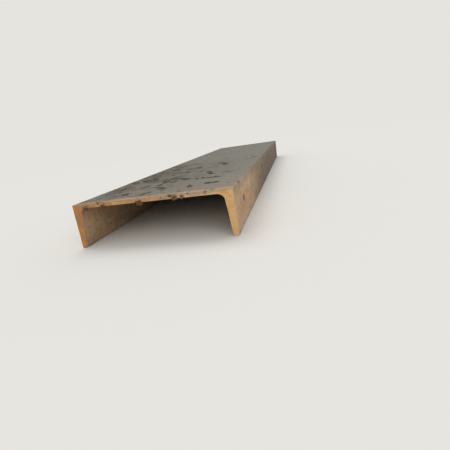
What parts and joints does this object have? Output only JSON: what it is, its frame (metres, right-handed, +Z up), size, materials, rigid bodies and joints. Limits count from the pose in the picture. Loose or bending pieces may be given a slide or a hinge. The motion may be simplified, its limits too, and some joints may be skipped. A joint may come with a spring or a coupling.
{
  "type": "steel channel",
  "caption": "Hot-rolled steel channel with tapered flanges, rounded roots and toes and square-sawn ends, lying on its toes with the web uppermost.",
  "frame": {"origin": "middle of the base, on the level floor that the toes rest on", "axes": "+X across the web, +Y along the rolled length, +Z up out of the back of the web"},
  "size_m": [0.32, 1.42, 0.088],
  "materials": {
    "mill_steel": "matte"
  },
  "bodies": {
    "root": {"channel": "mill_steel"}
  },
  "joints": []
}
